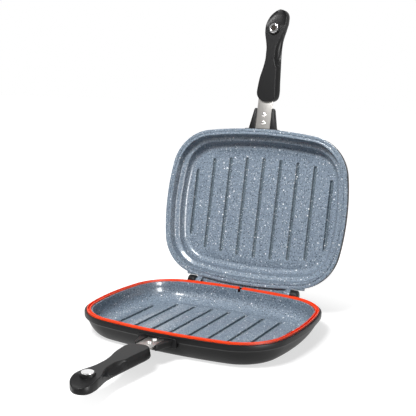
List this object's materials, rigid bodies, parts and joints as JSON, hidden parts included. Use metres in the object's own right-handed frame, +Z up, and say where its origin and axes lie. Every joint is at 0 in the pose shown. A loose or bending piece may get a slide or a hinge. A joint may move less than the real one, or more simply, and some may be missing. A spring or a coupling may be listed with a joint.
{
  "type": "double sided flip pan",
  "caption": "Double sided hinged pan: two grooved cast trays with a seal between them, each on its own moulded handle, shown swung open.",
  "frame": {"origin": "centre of the lower tray's flat base, on the surface it stands on", "axes": "+Z up, +Y from the handle to the hinge, +X to the right seen from the handle; rest pose: upper tray open against its stop"},
  "size_m": [0.32, 0.5503, 0.4671],
  "materials": {
    "coated_aluminium": "cast aluminium with a speckled blue-grey granite non-stick coat inside and satin black outside",
    "silicone_red": "smooth orange-red silicone",
    "steel_bright": "bright plain steel",
    "steel_polished": "polished",
    "steel_dark": "darkened steel",
    "plastic_black": "soft satin black thermoset moulding"
  },
  "bodies": {
    "lower_half": {"lower_pan": "coated_aluminium", "rim_seal": "silicone_red", "left_hinge_pin": "steel_dark", "right_hinge_pin": "steel_dark", "lower_strip": "steel_bright", "lower_strip_rivets": "steel_bright", "lower_handle": "plastic_black", "lower_handle_screw": "steel_bright", "catch_disc": "steel_polished"},
    "upper_half": {"upper_pan": "coated_aluminium", "upper_strip": "steel_bright", "upper_strip_rivets": "steel_bright", "upper_handle": "plastic_black", "upper_handle_screw": "steel_bright", "magnet_ring": "steel_polished", "magnet_ring_screw": "steel_dark"}
  },
  "joints": [
    {"name": "lid_hinge", "type": "hinge", "parent": "lower_half", "child": "upper_half", "pos_m": [0, 0.1279, 0.0345], "axis": [1, 0, 0], "range_deg": [0, 101.75]}
  ]
}
